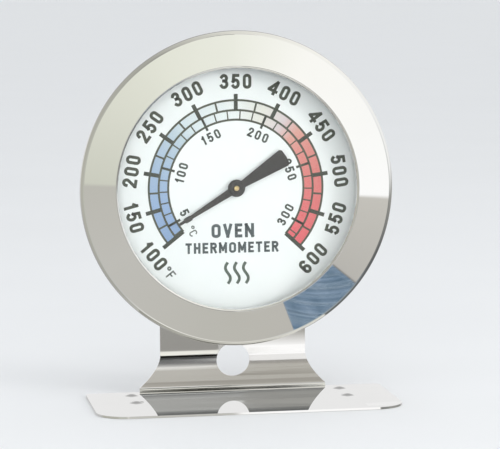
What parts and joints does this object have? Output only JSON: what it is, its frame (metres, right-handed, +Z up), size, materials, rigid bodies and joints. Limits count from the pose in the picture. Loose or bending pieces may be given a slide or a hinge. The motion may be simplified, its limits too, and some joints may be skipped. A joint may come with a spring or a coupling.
{
  "type": "oven thermometer",
  "caption": "Free-standing oven thermometer with a round glazed dial, turning pointer, polished bezel, bent sheet stand and a rear hook.",
  "frame": {"origin": "bottom centre of the whole object, on the resting face of the base", "axes": "+X right and -Y forward as the dial is read, +Z up; the pointer turns about an axis along Y"},
  "size_m": [0.076, 0.0446, 0.0887],
  "materials": {
    "polished_steel": "mirror-polished stainless steel sheet",
    "plain_steel": "satin mill finish",
    "brass": "turned brass, lightly tarnished",
    "bimetal": "rolled bimetal strip, dull",
    "dial_enamel": "satin white print on sheet metal",
    "pointer_black": "matt black paint",
    "clear_glass": "clear flat glass with a ground edge",
    "fibre_cushion": "woven heatproof fibre"
  },
  "bodies": {
    "housing": {"case_cup": "plain_steel", "bezel_ring": "polished_steel", "glass_lens": "clear_glass", "glass_cushion": "fibre_cushion", "spacer_ring": "plain_steel", "dial_plate": "dial_enamel", "movement_bridge": "plain_steel", "front_bush": "brass", "rear_bush": "brass", "coil_anchor_post": "brass", "bimetal_coil": "bimetal", "stand_bracket": "polished_steel", "hanging_hook": "polished_steel", "rivet_upper": "plain_steel", "rivet_lower": "plain_steel"},
    "pointer": {"pointer_arbor": "brass", "coil_collet": "brass", "arbor_washer": "plain_steel", "pointer_hub": "pointer_black", "pointer": "pointer_black"}
  },
  "joints": [
    {"name": "pointer_swing", "type": "hinge", "parent": "housing", "child": "pointer", "pos_m": [0, 0.0036, 0.0507], "axis": [0, 1, 0], "range_deg": [-22, 255], "stiffness_Nm_per_rad": 0.001, "deforming": ["bimetal_coil"]}
  ]
}
